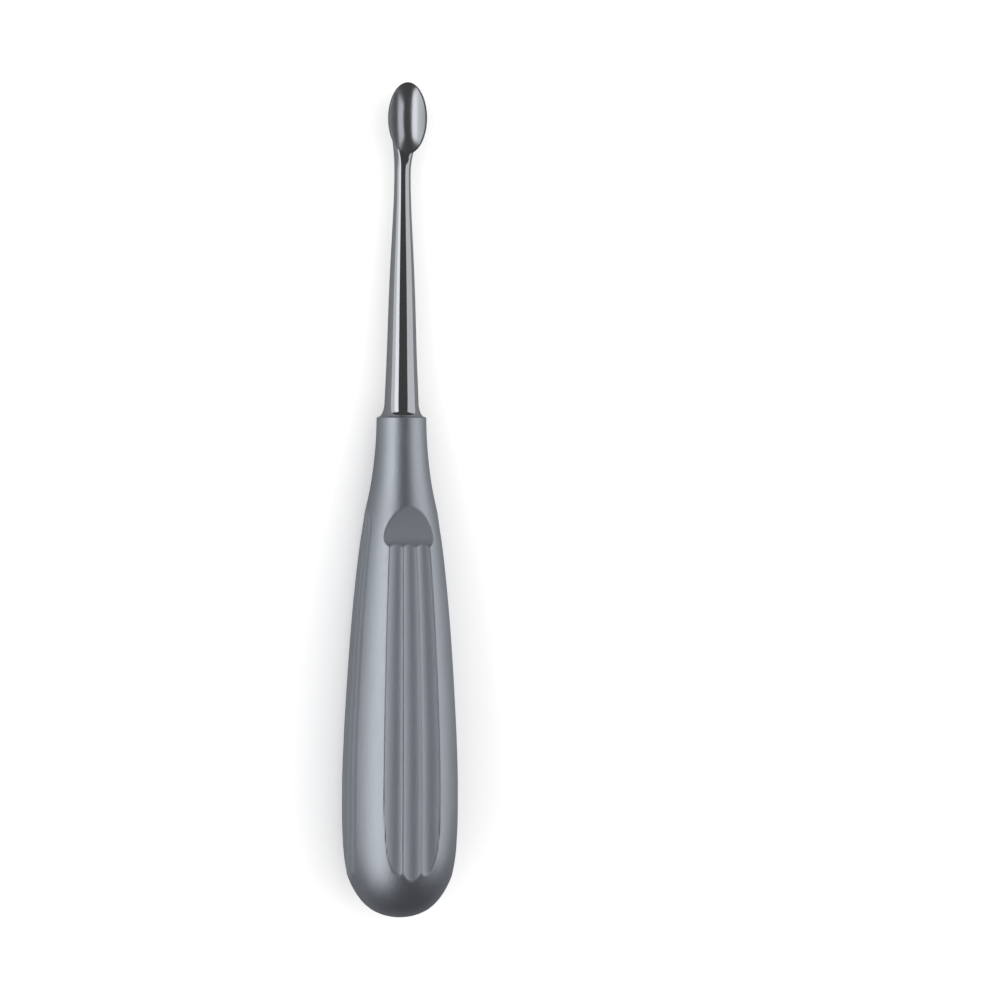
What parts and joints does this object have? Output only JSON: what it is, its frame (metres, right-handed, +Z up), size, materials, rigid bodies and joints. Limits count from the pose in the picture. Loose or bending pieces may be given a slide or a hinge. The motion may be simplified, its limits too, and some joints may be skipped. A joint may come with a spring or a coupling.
{
  "type": "bone curette",
  "caption": "Bone curette with an oval sharp-rimmed spoon on a tapered shaft and a fluted hollow steel grip with a scooped thumb rest.",
  "frame": {"origin": "middle of the tool's overall length and width, on the floor that it lies on", "axes": "+Z up, +Y along the tool towards the spoon's tip, +X across it"},
  "size_m": [0.022, 0.17, 0.0232],
  "materials": {
    "satin_steel": "satin, glass-bead blasted",
    "polished_steel": "mirror polished"
  },
  "bodies": {
    "root": {"handle": "satin_steel", "spoon_and_shaft": "polished_steel"}
  },
  "joints": []
}
